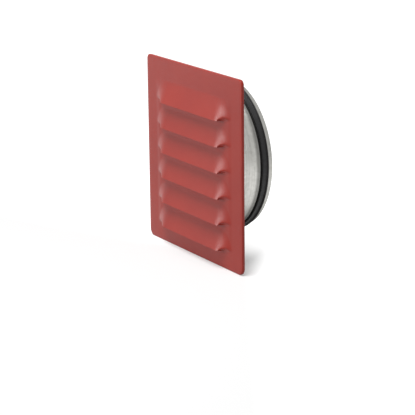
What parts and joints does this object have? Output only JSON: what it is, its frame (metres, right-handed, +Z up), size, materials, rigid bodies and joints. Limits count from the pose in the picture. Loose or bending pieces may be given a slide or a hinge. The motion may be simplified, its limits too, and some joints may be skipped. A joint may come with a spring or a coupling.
{
  "type": "wall vent grille",
  "caption": "Rectangular louvred wall vent grille in red painted sheet steel, on a round galvanised spigot with a rubber duct seal.",
  "frame": {"origin": "on the spigot's axis, in the plane where the plate's folded rim meets the wall", "axes": "+X to the right seen from outside, +Y into the wall along the spigot, +Z up"},
  "size_m": [0.15, 0.0433, 0.16],
  "materials": {
    "red_paint": "satin coil-coated paint",
    "galvanised_sheet": "hot-dip galvanised, satin",
    "galvanised_wire": "galvanised wire",
    "seal_rubber": "matte EPDM"
  },
  "bodies": {
    "root": {"louvre_plate": "red_paint", "back_plate": "galvanised_sheet", "bird_screen": "galvanised_wire", "spigot": "galvanised_sheet", "seal_ring": "seal_rubber"}
  },
  "joints": []
}
